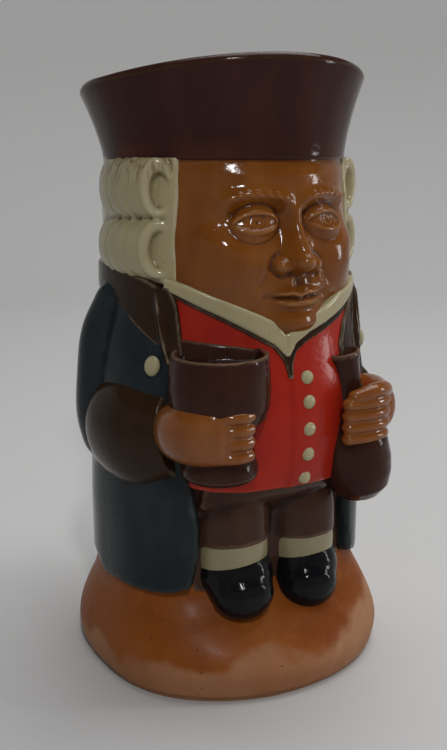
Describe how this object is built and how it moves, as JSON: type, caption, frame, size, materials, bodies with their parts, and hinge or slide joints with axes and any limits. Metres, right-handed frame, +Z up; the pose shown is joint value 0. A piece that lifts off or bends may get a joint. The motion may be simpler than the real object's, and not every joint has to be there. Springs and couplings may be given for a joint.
{
  "type": "toby jug",
  "caption": "Glazed stoneware toby jug: a standing figure in hat, wig and coat with mug and flask, the hat forming the open mouth, loop handle behind.",
  "frame": {"origin": "centre of the mound's flat underside, on the axis of the hat's mouth", "axes": "+Z up; the figure faces -Y, with the handle towards +Y; +X is the figure's left hand side, where the flask is"},
  "size_m": [0.1157, 0.1402, 0.2149],
  "materials": {
    "brown_glaze": "amber-brown translucent salt-type glaze over buff stoneware, glossy, paler towards the foot",
    "hat_glaze": "very dark purple-brown glaze, glossy",
    "skin_glaze": "amber-brown glaze that pools darker in hollows, glossy",
    "wig_glaze": "greyish olive-cream glaze, glossy",
    "coat_glaze": "blue-black glaze with a green tinge, glossy",
    "trim_glaze": "dark olive-brown glaze, glossy",
    "waistcoat_glaze": "opaque red glaze, glossy",
    "breeches_glaze": "dark maroon-brown glaze, glossy",
    "shoe_glaze": "black glaze, glossy",
    "inner_glaze": "plain buff-brown liner glaze, satin"
  },
  "bodies": {
    "root": {"jug": "brown_glaze"}
  },
  "joints": []
}
